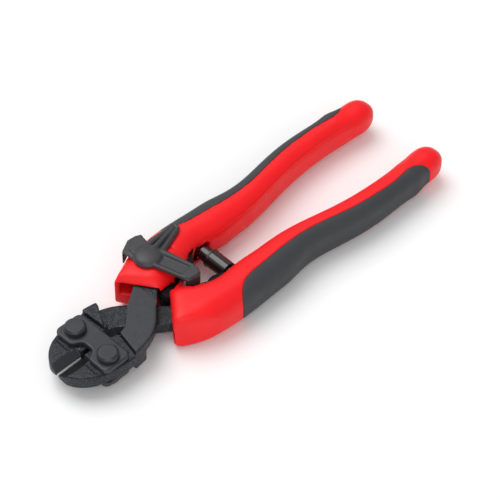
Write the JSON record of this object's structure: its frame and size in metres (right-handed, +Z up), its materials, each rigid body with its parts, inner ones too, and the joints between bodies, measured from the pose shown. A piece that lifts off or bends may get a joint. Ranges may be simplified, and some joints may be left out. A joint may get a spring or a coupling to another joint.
{
  "type": "compact bolt cutter",
  "caption": "Hand-held compact bolt cutter with crossing jaws between link plates, two moulded grips, a swinging latch and a telescopic opening spring.",
  "frame": {"origin": "centre of the tool on the surface it lies on, midway between the jaw tips and the handle ends", "axes": "+Y forward to the jaw tips, +X towards the latch-side handle, +Z up out of the face that carries the latch"},
  "size_m": [0.0624, 0.22, 0.0255],
  "materials": {
    "forged_steel": "blackened forged steel, fine grain, ground faces",
    "plate_steel": "black oxide, satin",
    "bright_steel": "plain steel",
    "red_plastic": "moulded, satin",
    "soft_charcoal": "soft-touch, matt",
    "black_plastic": "moulded, satin black"
  },
  "bodies": {
    "head": {"upper_link_plate": "plate_steel", "lower_link_plate": "plate_steel", "left_jaw_rivet": "plate_steel", "right_jaw_rivet": "plate_steel"},
    "left_jaw": {"left_jaw": "forged_steel"},
    "right_jaw": {"right_jaw": "forged_steel"},
    "right_handle": {"right_handle_frame": "forged_steel", "handle_pivot_bolt": "plate_steel", "handle_pivot_nut": "plate_steel", "handle_pivot_washer": "bright_steel", "right_tail_pin": "bright_steel", "right_grip": "red_plastic", "right_grip_inlay": "soft_charcoal", "latch_post": "bright_steel", "latch_wave_washer": "bright_steel", "right_spring_pin": "bright_steel"},
    "left_handle": {"left_handle_frame": "forged_steel", "left_tail_pin": "bright_steel", "left_grip": "red_plastic", "left_grip_inlay": "soft_charcoal", "left_spring_pin": "bright_steel"},
    "latch": {"latch": "black_plastic"},
    "spring_socket": {"spring_socket": "black_plastic", "spring_clip": "bright_steel", "opening_spring": "bright_steel"},
    "spring_sleeve": {"spring_sleeve": "black_plastic"},
    "spring_plunger": {"spring_plunger": "black_plastic"}
  },
  "joints": [
    {"name": "left_jaw_swing", "type": "hinge", "parent": "head", "child": "left_jaw", "pos_m": [-0.01075, 0.0893, 0.0105], "axis": [0, 0, 1], "range_deg": [0, 4]},
    {"name": "right_jaw_swing", "type": "hinge", "parent": "head", "child": "right_jaw", "pos_m": [0.01075, 0.0893, 0.0105], "axis": [0, 0, 1], "range_deg": [-4, 0]},
    {"name": "right_handle_swing", "type": "hinge", "parent": "left_jaw", "child": "right_handle", "pos_m": [0.0155, 0.0245, 0.0105], "axis": [0, 0, 1], "range_deg": [0, 12]},
    {"name": "left_handle_swing", "type": "hinge", "parent": "right_jaw", "child": "left_handle", "pos_m": [-0.0155, 0.0245, 0.0105], "axis": [0, 0, 1], "range_deg": [-12, 0]},
    {"name": "latch_swing", "type": "hinge", "parent": "right_handle", "child": "latch", "pos_m": [0.0165, 0.0404, 0.0225], "axis": [0, 0, 1], "range_deg": [0, 18]},
    {"name": "spring_socket_swing", "type": "hinge", "parent": "right_handle", "child": "spring_socket", "pos_m": [0.0128, 0.0132, 0.0105], "axis": [0, 0, 1], "range_deg": [-16, 0]},
    {"name": "spring_sleeve_slide", "type": "slide", "parent": "spring_socket", "child": "spring_sleeve", "axis": [-1, 0, 0], "range_m": [0, 0.0077]},
    {"name": "spring_plunger_slide", "type": "slide", "parent": "spring_socket", "child": "spring_plunger", "axis": [-1, 0, 0], "range_m": [0, 0.0154]}
  ],
  "couplings": [
    {"joint": "right_jaw_swing", "follows": "left_jaw_swing", "ratio": -1},
    {"joint": "right_handle_swing", "follows": "left_jaw_swing", "ratio": 2.99},
    {"joint": "left_handle_swing", "follows": "left_jaw_swing", "ratio": -2.99},
    {"joint": "spring_socket_swing", "follows": "left_jaw_swing", "ratio": -3.99},
    {"joint": "spring_sleeve_slide", "follows": "left_jaw_swing", "m_per_rad": 0.1097},
    {"joint": "spring_plunger_slide", "follows": "left_jaw_swing", "m_per_rad": 0.2194}
  ]
}
